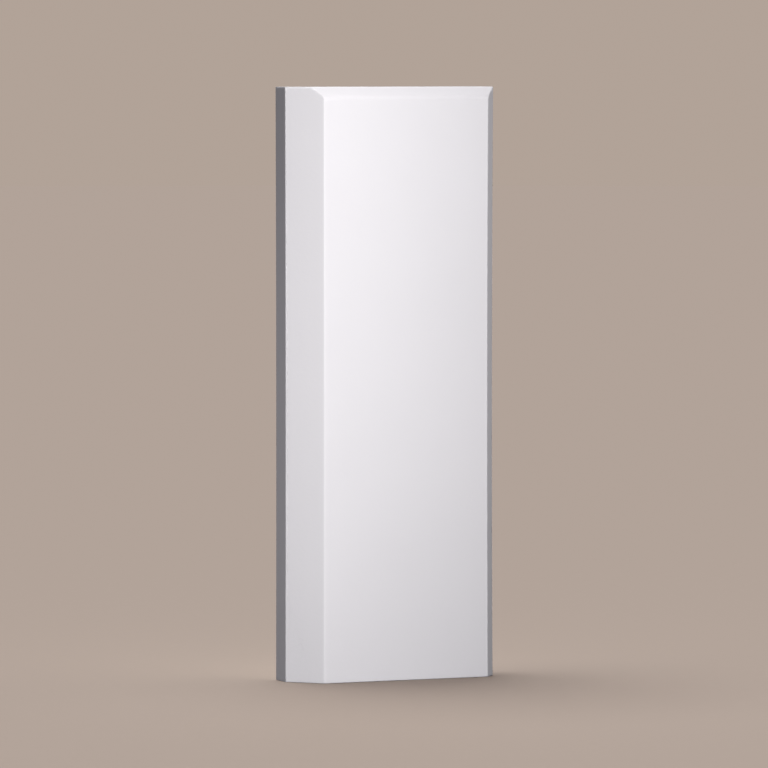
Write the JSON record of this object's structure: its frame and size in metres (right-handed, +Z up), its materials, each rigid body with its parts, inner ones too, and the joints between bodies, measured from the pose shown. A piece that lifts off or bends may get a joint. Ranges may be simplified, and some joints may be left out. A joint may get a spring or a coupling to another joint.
{
  "type": "door plinth block",
  "caption": "Tall white moulded block for the foot of a door casing, with a deep chamfer down its left front edge and narrow chamfers down the right and along the top.",
  "frame": {"origin": "on the floor under the middle of the block's box, so the foot lies in z = 0", "axes": "+Z up the block's height, +Y out of its back, towards the wall, +X to the right of someone facing the front"},
  "size_m": [0.11, 0.028, 0.3],
  "materials": {
    "primed_moulding": "dense moulded polyurethane with a smooth satin-matt white primer; back and foot bare, sanded flat"
  },
  "bodies": {
    "root": {"plinth_block": "primed_moulding"}
  },
  "joints": []
}
